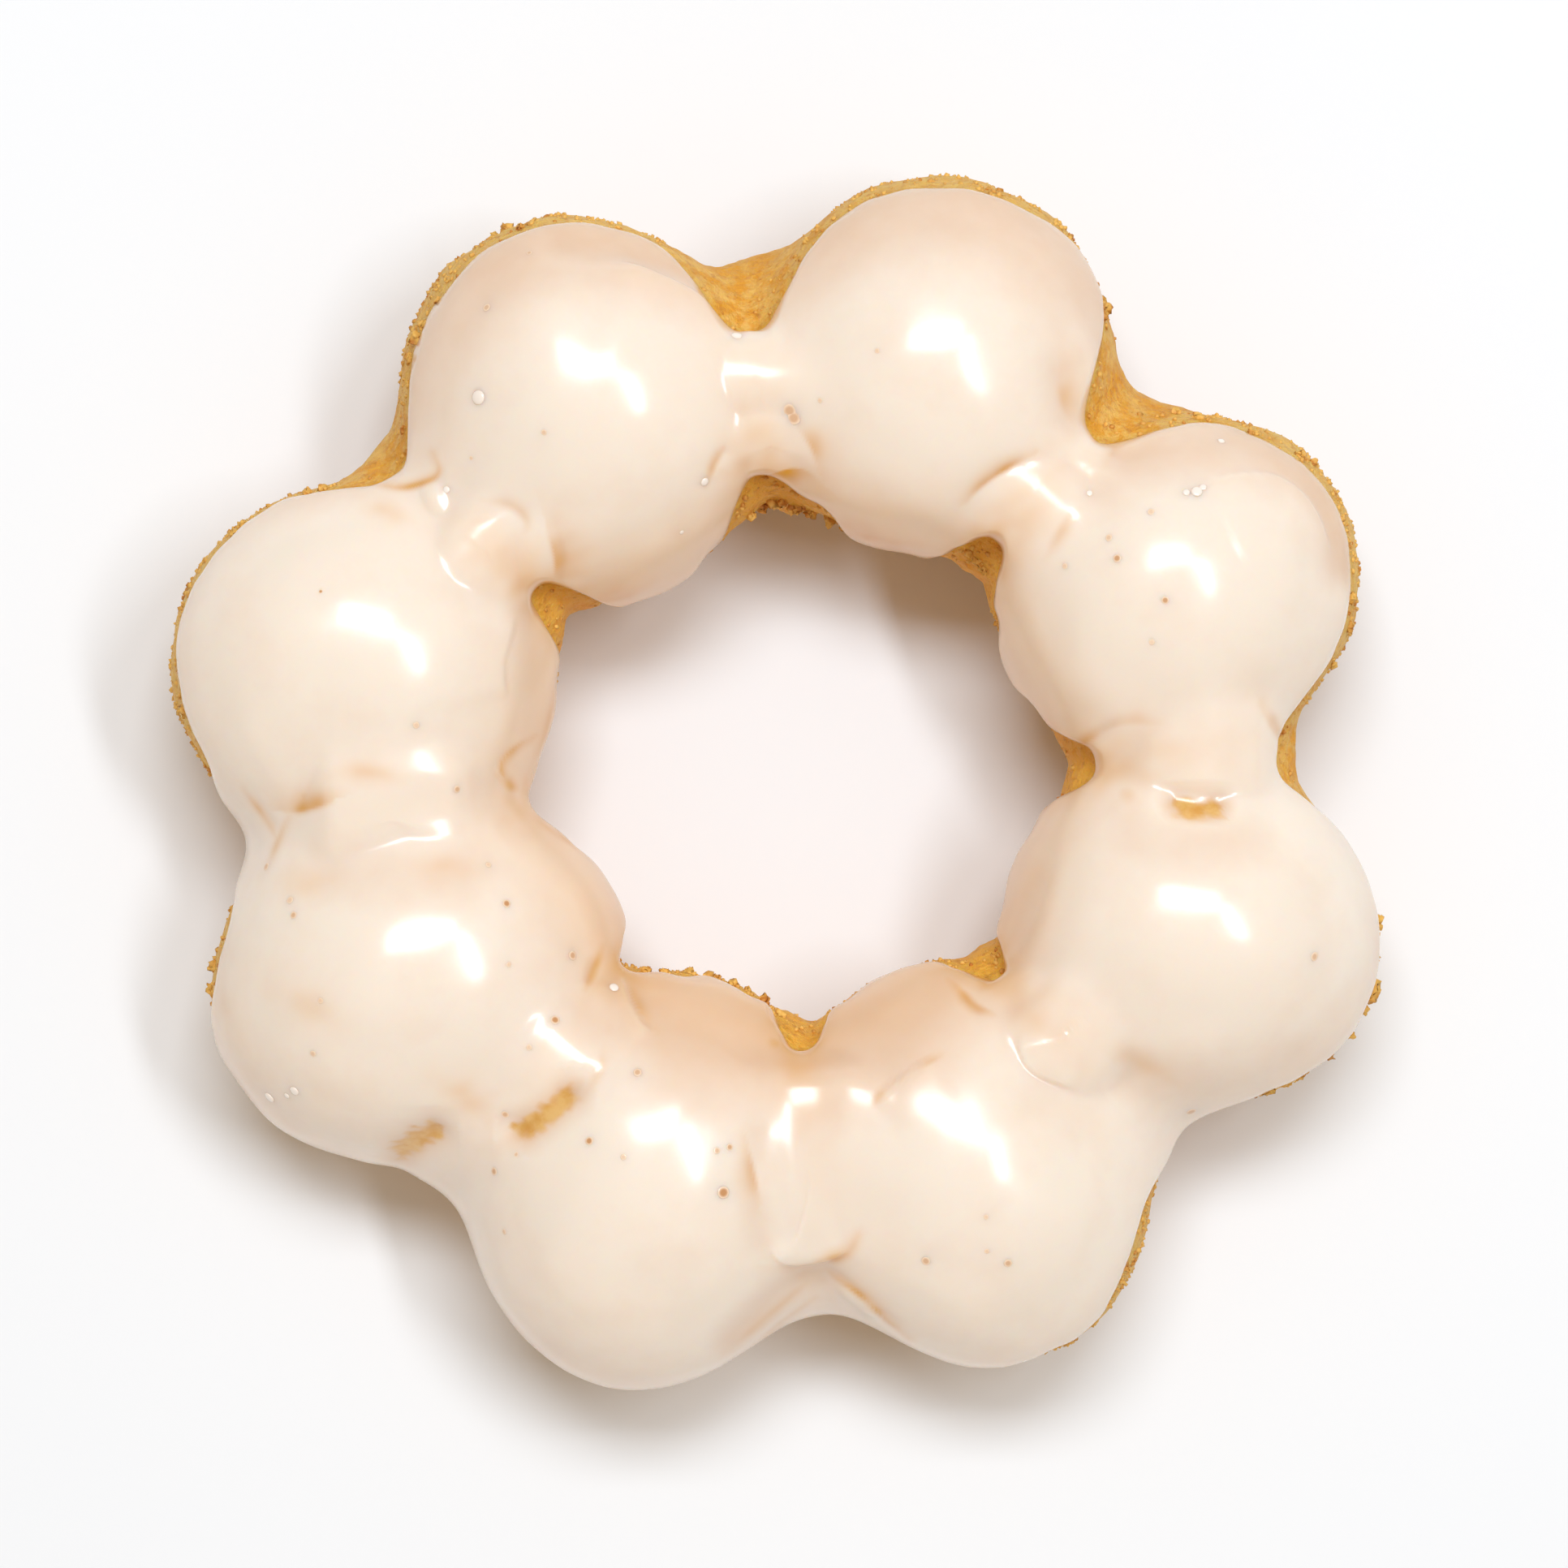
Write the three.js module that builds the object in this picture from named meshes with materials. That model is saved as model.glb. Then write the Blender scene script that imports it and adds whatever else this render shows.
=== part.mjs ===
// A mochi doughnut: eight balls of fried dough fused into one ring, its upper side dipped in a milky glaze.
// Millimetres, +Z up. The origin is on the table in the middle of the hole, and bearings run anticlockwise
// from +X.
import * as THREE from "three";
import { mergeVertices } from "three/addons/utils/BufferGeometryUtils.js";

// The dough balls in order round the ring. Each one has the bearing of its middle, its reach from the middle
// of the hole, three half-widths (half across the ring, side along it and rise upright), and how far its top
// leans over in X and Y.
const BALLS = [
  { bearing: 26.4, reach: 33.1, half: 13.6, side: 12.4, rise: 13.2, leanX: -1, leanY: -0.6 },
  { bearing: 70.2, reach: 33.4, half: 13.7, side: 13.1, rise: 13.5, leanX: 0, leanY: -1.2 },
  { bearing: 118, reach: 31.6, half: 14.3, side: 13.1, rise: 13.4, leanX: 1, leanY: 0.2 },
  { bearing: 164.6, reach: 32.2, half: 14.2, side: 13.5, rise: 13.1, leanX: 0.1, leanY: 0.4 },
  { bearing: 206.8, reach: 31.6, half: 14.2, side: 12.9, rise: 13.3, leanX: 1.4, leanY: 0.7 },
  { bearing: 252.5, reach: 30.7, half: 15.3, side: 12.7, rise: 13.5, leanX: -0.2, leanY: 0.3 },
  { bearing: 296.8, reach: 31.6, half: 15.1, side: 12.6, rise: 13, leanX: -0.7, leanY: -0.1 },
  { bearing: 340, reach: 32.8, half: 13.7, side: 12.3, rise: 13.4, leanX: -0.9, leanY: 0.6 },
];

// How far the glaze runs down each ball, in degrees from the top: the skirt on the outer side and the lining
// on the hole's side, each at the ball's first flank, its middle, its last flank and the neck after it.
const GLAZE_EDGES = [
  { skirt: [64, 65, 64, 25], lining: [80, 92, 76, 48] },
  { skirt: [74, 62, 61, 26], lining: [86, 92, 68, 52] },
  { skirt: [61, 61, 62, 52], lining: [80, 96, 92, 47] },
  { skirt: [69, 70, 63, 100], lining: [84, 90, 88, 80] },
  { skirt: [67, 90, 100, 106], lining: [86, 92, 94, 72] },
  { skirt: [102, 92, 98, 102], lining: [66, 69, 68, 56] },
  { skirt: [98, 70, 63, 92], lining: [78, 82, 80, 58] },
  { skirt: [69, 82, 82, 48], lining: [80, 90, 84, 54] },
];

// Smaller lobes of dough: the first one bulges into the hole, and the others fill the necks between balls.
const LOBES = [
  { bearing: 210.4, reach: 20.3, z: 14, radius: 3.6 },
  { bearing: 50, reach: 26, z: 11, radius: 3.4 },
  { bearing: 90.2, reach: 26.5, z: 11, radius: 4.3 },
  { bearing: 3.4, reach: 27, z: 11, radius: 4.3 },
  { bearing: 141, reach: 27, z: 11, radius: 3.8 },
  { bearing: 315, reach: 25.7, z: 11, radius: 3.8 },
  { bearing: 140.5, reach: 33.5, z: 10.5, radius: 3.7 },
  { bearing: 3.1, reach: 33.4, z: 10.5, radius: 4 },
  { bearing: 48, reach: 34.6, z: 10.5, radius: 3.2 },
  { bearing: 93.5, reach: 34.1, z: 10.5, radius: 3.7 },
  { bearing: 229.5, reach: 34.1, z: 10.5, radius: 3.3 },
  { bearing: 274, reach: 34.1, z: 10.5, radius: 3.3 },
  { bearing: 315, reach: 34.6, z: 10.5, radius: 3.3 },
];

const FLAT = 1.1; // how far each ball's underside is pressed flat by its own weight
const FUSE = 1.35; // how much the dough swells where two balls grow together
const GLAZE_FUSE = 1.9; // the same for the glaze, which pools in the necks
const GLAZE = 0.65; // thickness of the glaze
const GLAZE_EDGE = 0.35; // thickness at its lower edges
const EDGE_ROUNDING = 4; // the higher, the nearer the edge the glaze starts to thin
const GLAZE_GAP = 0.4; // clear space that keeps the two solids apart
const CRAGS = 0.3; // depth of the fried dough's unevenness below the glaze
const CRAG_RUN = 30; // degrees below the glaze's edge at which it reaches that depth
const CRAG_WAVES = [
  { round: 23, over: 5 }, // waves in a turn round the ring and in a turn over its section
  { round: 37, over: 3 },
];

// Shares of the way from one ball to the next at which a flank's values and the neck's hold.
const FLANK = 0.27;
const NECK = 0.5;

// Mesh fineness: steps round the ring, across the glazed part of the section, and across the bare part.
const RING_STEPS = 112;
const GLAZED_STEPS = 14;
const BARE_STEPS = 12;

const LONGEST_RAY = 26; // from the ring's core, past any of the surfaces
const HALVINGS = 40; // of the search for the surface along a ray
const FULL_TURN = 360;
const rad = THREE.MathUtils.degToRad;

// The same thing with its middle's x and y worked out from its bearing and reach.
function onRing(thing) {
  const angle = rad(thing.bearing);
  return { ...thing, x: thing.reach * Math.cos(angle), y: thing.reach * Math.sin(angle) };
}
const balls = BALLS.map((ball) => ({ ...onRing(ball), z: ball.rise - FLAT }));
const lobes = LOBES.map(onRing);

// How far outside one ball a point is, near enough, in millimetres.
function outsideBall(ball, point) {
  const up = (point.z - ball.z) / ball.rise;
  const dx = point.x - ball.x - ball.leanX * up;
  const dy = point.y - ball.y - ball.leanY * up;
  const c = Math.cos(rad(ball.bearing));
  const s = Math.sin(rad(ball.bearing));
  const across = (dx * c + dy * s) / ball.half;
  const along = (dy * c - dx * s) / ball.side;
  return (Math.hypot(across, along, up) - 1) * ((ball.half + ball.side + ball.rise) / 3);
}

function outsideLobe(lobe, point) {
  return Math.hypot(point.x - lobe.x, point.y - lobe.y, point.z - lobe.z) - lobe.radius;
}

// How far outside the fused ring a point is: a smooth minimum over balls and lobes that swells by `fuse`
// where two of them meet.
function outsideRing(point, fuse) {
  const sharpness = Math.LN2 / fuse;
  const fromBalls = balls.map((ball) => outsideBall(ball, point));
  const fromLobes = lobes.map((lobe) => outsideLobe(lobe, point));
  const sum = [...fromBalls, ...fromLobes].reduce((total, d) => total + Math.exp(-sharpness * d), 0);
  return -Math.log(sum) / sharpness;
}

// A smooth closed curve through stations round the ring, each a bearing in degrees and a value.
function ringCurve(stations) {
  const turned = stations.map(([bearing, value]) => [(bearing + FULL_TURN) % FULL_TURN, value]);
  const sorted = turned.sort((p, q) => p[0] - q[0]);
  return (bearing) => {
    const b = (bearing + FULL_TURN) % FULL_TURN;
    const next = sorted.findIndex(([at]) => at > b);
    const [b1, v1] = sorted.at(next === -1 ? 0 : next);
    const [b0, v0] = sorted.at(next === -1 ? -1 : next - 1);
    const share = ((b - b0 + FULL_TURN) % FULL_TURN) / ((b1 - b0 + FULL_TURN) % FULL_TURN);
    return THREE.MathUtils.lerp(v0, v1, THREE.MathUtils.smootherstep(share, 0, 1));
  };
}

// The bearing at a share of the way from one ball to the next.
function between(i, share) {
  const here = BALLS[i].bearing;
  const span = (BALLS[(i + 1) % BALLS.length].bearing - here + FULL_TURN) % FULL_TURN;
  return here + share * span;
}

// The ring's core runs through the balls' middles, and at a neck on the straight line between two of them.
function coreStations(size) {
  return balls.flatMap((ball, i) => {
    const next = balls[(i + 1) % balls.length];
    const atNeck = { reach: Math.hypot(ball.x + next.x, ball.y + next.y) / 2, z: (ball.z + next.z) / 2 };
    return [
      [ball.bearing, ball[size]],
      [between(i, NECK), atNeck[size]],
    ];
  });
}
const coreReach = ringCurve(coreStations("reach"));
const coreHeight = ringCurve(coreStations("z"));

function edgeStations(edge) {
  return GLAZE_EDGES.flatMap((edges, i) => {
    const before = (i + BALLS.length - 1) % BALLS.length;
    const [firstFlank, middle, lastFlank, neck] = edges[edge];
    return [
      [between(before, 1 - FLANK), firstFlank],
      [BALLS[i].bearing, middle],
      [between(i, FLANK), lastFlank],
      [between(i, NECK), neck],
    ];
  });
}
const skirt = ringCurve(edgeStations("skirt"));
const lining = ringCurve(edgeStations("lining"));

// The point at a distance from the core, at a bearing and a lean: degrees from the top, outwards positive.
function fromCore(bearing, lean, distance) {
  const reach = coreReach(bearing) + distance * Math.sin(rad(lean));
  const height = coreHeight(bearing) + distance * Math.cos(rad(lean));
  return new THREE.Vector3(reach * Math.cos(rad(bearing)), reach * Math.sin(rad(bearing)), height);
}

// How far the surface that lies `coat` outside the fused ring is from the core, along one ray.
function surfaceDistance(bearing, lean, fuse, coat) {
  let inside = 0;
  let outside = LONGEST_RAY;
  for (let i = 0; i < HALVINGS; i++) {
    const middle = (inside + outside) / 2;
    if (outsideRing(fromCore(bearing, lean, middle), fuse) < coat) inside = middle;
    else outside = middle;
  }
  return inside;
}

// Slow waves over the bare dough, from 0 under the glaze's edge to full depth a little below it.
function crags(bearing, lean) {
  const pastLining = -lining(bearing) - lean;
  const pastSkirt = lean - skirt(bearing) + FULL_TURN;
  const bare = THREE.MathUtils.smoothstep(Math.min(pastLining, pastSkirt), 0, CRAG_RUN);
  const waves = CRAG_WAVES.map((wave) => Math.sin(rad(wave.round * bearing + wave.over * lean)));
  return (CRAGS / CRAG_WAVES.length) * bare * waves.reduce((total, w) => total + w, 0);
}

// A torus whose points are each moved to place(bearing, step). Steps count round its tube, from the outer
// side over the top.
function mouldedTorus(tubeSteps, place) {
  const torus = new THREE.TorusGeometry(balls[0].reach, balls[0].half, tubeSteps, RING_STEPS);
  const uv = torus.getAttribute("uv");
  const position = torus.getAttribute("position");
  for (let i = 0; i < position.count; i++) {
    const bearing = FULL_TURN * (uv.getX(i) % 1);
    const step = Math.round(uv.getY(i) * tubeSteps) % tubeSteps;
    const point = place(bearing, step);
    position.setXYZ(i, point.x, point.y, point.z);
  }
  torus.deleteAttribute("normal");
  torus.deleteAttribute("uv");
  const merged = mergeVertices(torus);
  merged.computeVertexNormals();
  return merged;
}

// The lean at a share of the way over the glazed part, from the skirt to the lining.
function glazedLean(bearing, share) {
  return THREE.MathUtils.lerp(skirt(bearing), -lining(bearing), share);
}

// The dough's section goes over the top under the glaze, then down the hole's side and back under the ring.
function doughPoint(bearing, step) {
  const below = (step - GLAZED_STEPS) / BARE_STEPS;
  const lean =
    below < 0
      ? glazedLean(bearing, step / GLAZED_STEPS)
      : THREE.MathUtils.lerp(-lining(bearing), skirt(bearing) - FULL_TURN, below);
  const point = fromCore(bearing, lean, surfaceDistance(bearing, lean, FUSE, 0) + crags(bearing, lean));
  point.z = Math.max(point.z, 0);
  return point;
}

// The glaze is a crescent in section: over its outer face from the skirt to the lining, then back underneath.
function glazePoint(bearing, step) {
  const onTop = step <= GLAZED_STEPS;
  const share = (onTop ? step : 2 * GLAZED_STEPS + 1 - step) / GLAZED_STEPS;
  const lean = glazedLean(bearing, share);
  const under = surfaceDistance(bearing, lean, FUSE, GLAZE_GAP);
  if (!onTop) return fromCore(bearing, lean, under);
  const fromEdge = 1 - Math.abs(2 * share - 1) ** EDGE_ROUNDING;
  const coat = GLAZE_GAP + THREE.MathUtils.lerp(GLAZE_EDGE, GLAZE, fromEdge);
  const pooling = THREE.MathUtils.lerp(FUSE, GLAZE_FUSE, Math.max(0, Math.cos(rad(lean))));
  return fromCore(bearing, lean, surfaceDistance(bearing, lean, pooling, coat));
}

const friedDough = new THREE.MeshStandardMaterial({ color: 0xdda64c, roughness: 0.6, metalness: 0 });
const milkyGlaze = new THREE.MeshStandardMaterial({ color: 0xf8e7d5, roughness: 0.12, metalness: 0 });

function piece(name, geometry, material) {
  const mesh = new THREE.Mesh(geometry, material);
  mesh.name = name;
  return mesh;
}

const doughnut = new THREE.Group();
doughnut.add(piece("dough", mouldedTorus(GLAZED_STEPS + BARE_STEPS, doughPoint), friedDough));
doughnut.add(piece("glaze", mouldedTorus(2 * (GLAZED_STEPS + 1), glazePoint), milkyGlaze));

export default doughnut;
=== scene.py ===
import bpy
import numpy as np
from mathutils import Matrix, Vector


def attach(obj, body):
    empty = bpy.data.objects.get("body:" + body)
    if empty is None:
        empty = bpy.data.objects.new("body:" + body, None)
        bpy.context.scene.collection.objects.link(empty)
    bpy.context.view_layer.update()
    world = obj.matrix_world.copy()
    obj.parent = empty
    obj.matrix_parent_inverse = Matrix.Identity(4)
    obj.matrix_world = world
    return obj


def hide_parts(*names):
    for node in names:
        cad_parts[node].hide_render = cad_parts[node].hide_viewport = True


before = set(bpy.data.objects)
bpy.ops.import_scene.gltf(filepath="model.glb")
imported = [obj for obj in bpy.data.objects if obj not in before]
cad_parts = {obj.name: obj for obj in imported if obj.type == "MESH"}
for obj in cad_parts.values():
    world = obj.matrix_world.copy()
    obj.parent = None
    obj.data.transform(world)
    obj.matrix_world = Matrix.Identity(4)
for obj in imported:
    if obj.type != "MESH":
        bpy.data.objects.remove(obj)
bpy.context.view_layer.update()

# Dough. Eight balls of mochi dough set in a ring grow together in the hot oil and fry to a thin golden crust.
# The ring lies on small flat spots, pressed by its own weight, and bare crust shows below the glaze, in the
# necks between the balls and round the hole.

MM = 0.001

# One row for each ball: bearing in degrees anticlockwise from +X, then in millimetres its reach from the
# middle of the hole, its half-widths across the ring, along it and upright, and how far its top leans in X
# and in Y.
balls = np.array([
    (26.4, 33.1, 13.6, 12.4, 13.2, -1.0, -0.6),
    (70.2, 33.4, 13.7, 13.1, 13.5, 0.0, -1.2),
    (118.0, 31.6, 14.3, 13.1, 13.4, 1.0, 0.2),
    (164.6, 32.2, 14.2, 13.5, 13.1, 0.1, 0.4),
    (206.8, 31.6, 14.2, 12.9, 13.3, 1.4, 0.7),
    (252.5, 30.7, 15.3, 12.7, 13.5, -0.2, 0.3),
    (296.8, 31.6, 15.1, 12.6, 13.0, -0.7, -0.1),
    (340.0, 32.8, 13.7, 12.3, 13.4, -0.9, 0.6),
])
ball_bearing, ball_reach, _, _, ball_rise, _, _ = balls.T
# Smaller lobes that fill the necks, and one that bulges into the hole: bearing, reach, height and radius.
lobes = np.array([
    (210.4, 20.3, 14.0, 3.6),
    (50.0, 26.0, 11.0, 3.4),
    (90.2, 26.5, 11.0, 4.3),
    (3.4, 27.0, 11.0, 4.3),
    (141.0, 27.0, 11.0, 3.8),
    (315.0, 25.7, 11.0, 3.8),
    (140.5, 33.5, 10.5, 3.7),
    (3.1, 33.4, 10.5, 4.0),
    (48.0, 34.6, 10.5, 3.2),
    (93.5, 34.1, 10.5, 3.7),
    (229.5, 34.1, 10.5, 3.3),
    (274.0, 34.1, 10.5, 3.3),
    (315.0, 34.6, 10.5, 3.3),
])
# How far the ring is pressed flat below, and how far it swells where two balls meet, in millimetres.
pressed_flat = 1.1
dough_fuse = 1.35
ball_height = ball_rise - pressed_flat


def on_ring(bearing, reach, height):
    angle = np.radians(bearing)
    return np.stack([reach * np.cos(angle), reach * np.sin(angle), height + 0 * angle], axis=-1)


ball_middle = on_ring(ball_bearing, ball_reach, ball_height)


def outside_ring(points, fuse):
    """How far points are outside the fused balls, in millimetres, swelling by fuse where two balls meet."""
    sharpness = np.log(2) / fuse
    total = np.zeros(points.shape[:-1])
    for bearing, reach, height, radius in lobes:
        away = points - on_ring(bearing, reach, height)
        total += np.exp(-sharpness * (np.linalg.norm(away, axis=-1) - radius))
    for middle, (bearing, _, half, side, rise, lean_x, lean_y) in zip(ball_middle, balls):
        out = on_ring(bearing, 1.0, 0.0)[:2]
        away = points - middle
        upright = away[..., 2] / rise
        away_x = away[..., 0] - lean_x * upright
        away_y = away[..., 1] - lean_y * upright
        across = (away_x * out[0] + away_y * out[1]) / half
        along = (away_y * out[0] - away_x * out[1]) / side
        distance = np.sqrt(across ** 2 + along ** 2 + upright ** 2) - 1
        total += np.exp(-sharpness * distance * (half + side + rise) / 3)
    return -np.log(total) / sharpness


def ring_curve(bearings, values):
    """A smooth closed curve of a value round the ring, through values at bearings."""
    order = np.argsort(np.asarray(bearings) % 360)
    at = (np.asarray(bearings) % 360)[order]
    value = np.asarray(values, float)[order]
    at = np.concatenate([[at[-1] - 360], at, [at[0] + 360]])
    value = np.concatenate([[value[-1]], value, [value[0]]])

    def curve(bearing):
        turned = bearing % 360
        i = np.clip(np.searchsorted(at, turned, side="right") - 1, 0, len(at) - 2)
        share = (turned - at[i]) / (at[i + 1] - at[i])
        eased = share ** 3 * (share * (6 * share - 15) + 10)
        return value[i] + (value[i + 1] - value[i]) * eased

    return curve


def between_balls(share):
    """The bearing at a share of the way from each ball to the next."""
    return ball_bearing + share * ((np.roll(ball_bearing, -1) - ball_bearing) % 360)


neck_bearing = between_balls(0.5)
neck_middle = (ball_middle + np.roll(ball_middle, -1, axis=0)) / 2
core_bearing = np.concatenate([ball_bearing, neck_bearing])
core_reach = ring_curve(core_bearing, np.concatenate([ball_reach, np.hypot(*neck_middle[:, :2].T)]))
core_height = ring_curve(core_bearing, np.concatenate([ball_height, neck_middle[:, 2]]))


def from_core(bearing, lean, distance):
    """Points at a distance from the ring's core; lean is in degrees from the top, outwards positive."""
    tilt = np.radians(lean)
    reach = core_reach(bearing) + distance * np.sin(tilt)
    return on_ring(bearing, reach, core_height(bearing) + distance * np.cos(tilt))


def surface_distance(bearing, lean, fuse, coat):
    """How far from the core a coat of that thickness over the fused balls has its surface."""
    farthest = 26.0
    halvings = 20
    inside = np.zeros_like(bearing)
    beyond = np.full_like(bearing, farthest)
    for _ in range(halvings):
        middle = (inside + beyond) / 2
        covered = outside_ring(from_core(bearing, lean, middle), fuse) < coat
        inside = np.where(covered, middle, inside)
        beyond = np.where(covered, beyond, middle)
    return (inside + beyond) / 2


# How far the glaze runs down each ball, in degrees from the top: on the outer side and on the hole's side,
# at the ball's first flank, its middle, its last flank and the neck after it.
outer_edge = np.array([
    (70, 71, 68, 26),
    (78, 69, 68, 27),
    (67, 68, 68, 54),
    (72, 74, 70, 100),
    (74, 92, 100, 106),
    (102, 92, 98, 102),
    (98, 80, 70, 92),
    (78, 84, 84, 56),
])
hole_edge = np.array([
    (80, 92, 76, 48),
    (86, 92, 68, 52),
    (80, 96, 92, 47),
    (84, 90, 88, 80),
    (86, 92, 94, 72),
    (77, 82, 79, 58),
    (80, 86, 84, 58),
    (84, 90, 84, 54),
])
flank = 0.27
edge_bearing = np.stack(
    [np.roll(between_balls(1 - flank), 1), ball_bearing, between_balls(flank), neck_bearing], axis=1
)
skirt = ring_curve(edge_bearing.ravel(), outer_edge.ravel())
lining = ring_curve(edge_bearing.ravel(), hole_edge.ravel())


def uneven(points, wavelength, seed):
    """Soft random unevenness, mostly from -1 to 1, with lumps about a wavelength across, in millimetres."""
    dice = np.random.default_rng(seed)
    total = np.zeros(points.shape[:-1])
    waves = 14
    slowest, quickest = 0.6, 1.4
    for _ in range(waves):
        direction = dice.normal(size=3)
        direction *= dice.uniform(slowest, quickest) * 2 * np.pi / wavelength / np.linalg.norm(direction)
        total += np.sin(points @ direction + dice.uniform(0, 2 * np.pi))
    return total / np.sqrt(2 * waves)


def ramp(low, high, value):
    """The share of the way from low to high, from 0 to 1, eased at both ends."""
    share = np.clip((value - low) / (high - low), 0, 1)
    return share * share * (3 - 2 * share)


def in_scene(name, data):
    made = bpy.data.objects.new(name, data)
    bpy.context.scene.collection.objects.link(made)
    return made


def store(mesh, marks):
    """Numbers kept on a mesh's points, for its material or for what grows on it."""
    for mark, values in marks.items():
        layer = mesh.attributes.new(mark, "FLOAT", "POINT")
        layer.data.foreach_set("value", values.astype(np.float32).ravel())


def ring_piece(name, points, marks):
    """A closed piece from a grid of points that wraps round the ring and round its section."""
    rounds, sections = points.shape[:2]
    i, j = np.meshgrid(np.arange(rounds), np.arange(sections), indexing="ij")
    following = (i + 1) % rounds
    above = (j + 1) % sections
    corners = [i * sections + j, following * sections + j, following * sections + above, i * sections + above]
    faces = np.stack(corners, axis=-1).reshape(-1, 4)
    mesh = bpy.data.meshes.new(name)
    mesh.from_pydata((points.reshape(-1, 3) * MM).tolist(), [], faces.tolist())
    mesh.shade_smooth()
    store(mesh, marks)
    return in_scene(name, mesh)


class Nodes:
    """A node tree under construction."""

    def __init__(self, tree):
        self.tree = tree

    def node(self, kind, settings=None, **sockets):
        made = self.tree.nodes.new(kind)
        for setting, value in (settings or {}).items():
            setattr(made, setting, value)
        for name, value in sockets.items():
            self.feed(made.inputs[name.replace("_", " ")], value)
        return made

    def feed(self, target, value):
        if isinstance(value, Finish):
            value = value.socket
        if isinstance(value, bpy.types.NodeSocket):
            self.tree.links.new(value, target)
        else:
            target.default_value = value

    def maths(self, operation, *values, kind="ShaderNodeMath"):
        made = self.node(kind, {"operation": operation})
        for target, value in zip(made.inputs, values):
            self.feed(target, value)
        return made


class Finish(Nodes):
    """A material under construction: a number that varies over the surface, with the nodes that make it."""

    def __init__(self, tree, socket=None):
        super().__init__(tree)
        self.socket = socket

    def of(self, socket):
        return Finish(self.tree, socket)

    def __add__(self, other):
        return self.of(self.maths("ADD", self, other).outputs["Value"])

    def __sub__(self, other):
        return self.of(self.maths("SUBTRACT", self, other).outputs["Value"])

    def __mul__(self, other):
        return self.of(self.maths("MULTIPLY", self, other).outputs["Value"])

    def mark(self, name):
        """A number stored on the piece's points."""
        return self.of(self.node("ShaderNodeAttribute", {"attribute_name": name}).outputs["Fac"])

    def grain(self, scale, detail=3.0, roughness=0.55):
        """Cloudy noise from 0 to 1 over the piece, with that many lumps in a metre."""
        place = self.node("ShaderNodeTexCoord").outputs["Object"]
        noise = self.node("ShaderNodeTexNoise", Vector=place, Scale=scale, Detail=detail, Roughness=roughness)
        return self.of(noise.outputs["Fac"])

    def between(self, value, low, high):
        """The same as ramp, in a material."""
        eased = {"interpolation_type": "SMOOTHSTEP"}
        ranged = self.node("ShaderNodeMapRange", eased, Value=value, From_Min=low, From_Max=high)
        return self.of(ranged.outputs["Result"])

    def blend(self, share, first, second):
        """A colour that goes from first to second as share goes from 0 to 1."""
        mix = self.node("ShaderNodeMix", {"data_type": "RGBA", "clamp_factor": True})
        ends = [socket for socket in mix.inputs if socket.type == "RGBA"]
        self.feed(mix.inputs["Factor"], share)
        self.feed(ends[0], first)
        self.feed(ends[1], second)
        return next(socket for socket in mix.outputs if socket.type == "RGBA")


def colour(red, green, blue):
    """A colour as seen on a screen, 0 to 255, as the light that it stands for."""
    return tuple(((c / 255 + 0.055) / 1.055) ** 2.4 for c in (red, green, blue)) + (1.0,)


def new_finish(name, **sockets):
    """A material, the tree to build its maths in and its shader, with values the same all over set on it."""
    material = bpy.data.materials.new(name)
    material.use_nodes = True
    shader = material.node_tree.nodes["Principled BSDF"]
    for socket, value in sockets.items():
        shader.inputs[socket.replace("_", " ")].default_value = value
    return material, Finish(material.node_tree), shader


dough_around, dough_across = 560, 150
dough_bearing, dough_lean = np.meshgrid(
    np.arange(dough_around) * 360 / dough_around,
    180 - np.arange(dough_across) * 360 / dough_across,
    indexing="ij",
)

# Crags in the crust below the glaze: their depth in millimetres, the degrees past the glaze's edge by which
# they are that deep, and how many waves run round the ring and over it.
crag_depth = 0.3
crag_run = 30.0
crag_turns = ((23, 5), (37, 3))
past_edge = np.maximum(dough_lean - skirt(dough_bearing), -dough_lean - lining(dough_bearing))
bare_share = ramp(0, crag_run, past_edge)
turned_lean = np.where(dough_lean > skirt(dough_bearing), dough_lean - 360, dough_lean)
crag_waves = sum(
    np.sin(np.radians(round_turn * dough_bearing + over_turn * turned_lean))
    for round_turn, over_turn in crag_turns
)
dough_distance = surface_distance(dough_bearing, dough_lean, dough_fuse, 0.0)
dough_distance += crag_depth / 2 * crag_waves * bare_share
dough_points = from_core(dough_bearing, dough_lean, dough_distance)

# Finer lumps and pimples on the bare crust, from just under the glaze's edge: the degrees past it between
# which they set in, then heights and widths in millimetres.
sets_in = (-2.0, 6.0)
lump_height, lump_width = 0.10, 3.4
pimple_height, pimple_width = 0.07, 1.2
crust_relief = lump_height * uneven(dough_points, lump_width, seed=11)
crust_relief += pimple_height * uneven(dough_points, pimple_width, seed=12)
crust_relief *= ramp(*sets_in, past_edge)
dough_points = from_core(dough_bearing, dough_lean, dough_distance + crust_relief)
rest_rounding = 0.4
height = dough_points[..., 2]
dough_points[..., 2] = (height + np.sqrt(height ** 2 + rest_rounding ** 2)) / 2

# Where the crust changes colour: degrees below the glaze's edge, distance from the core in millimetres from a
# ball to a neck, and leans in degrees down the hole's side.
browned_by = 70.0
ball_to_neck = (14.5, 9.0)
hole_side_starts = (-20, -60)
hole_side_ends = (-170, -120)
below_edge = ramp(0, browned_by, past_edge)
in_neck = ramp(*ball_to_neck, dough_distance)
on_hole_side = ramp(*hole_side_starts, dough_lean) * ramp(*hole_side_ends, dough_lean)

dough_piece = ring_piece("dough_crust", dough_points, {
    "below_edge": below_edge, "in_neck": in_neck, "on_hole_side": on_hole_side,
})

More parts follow.
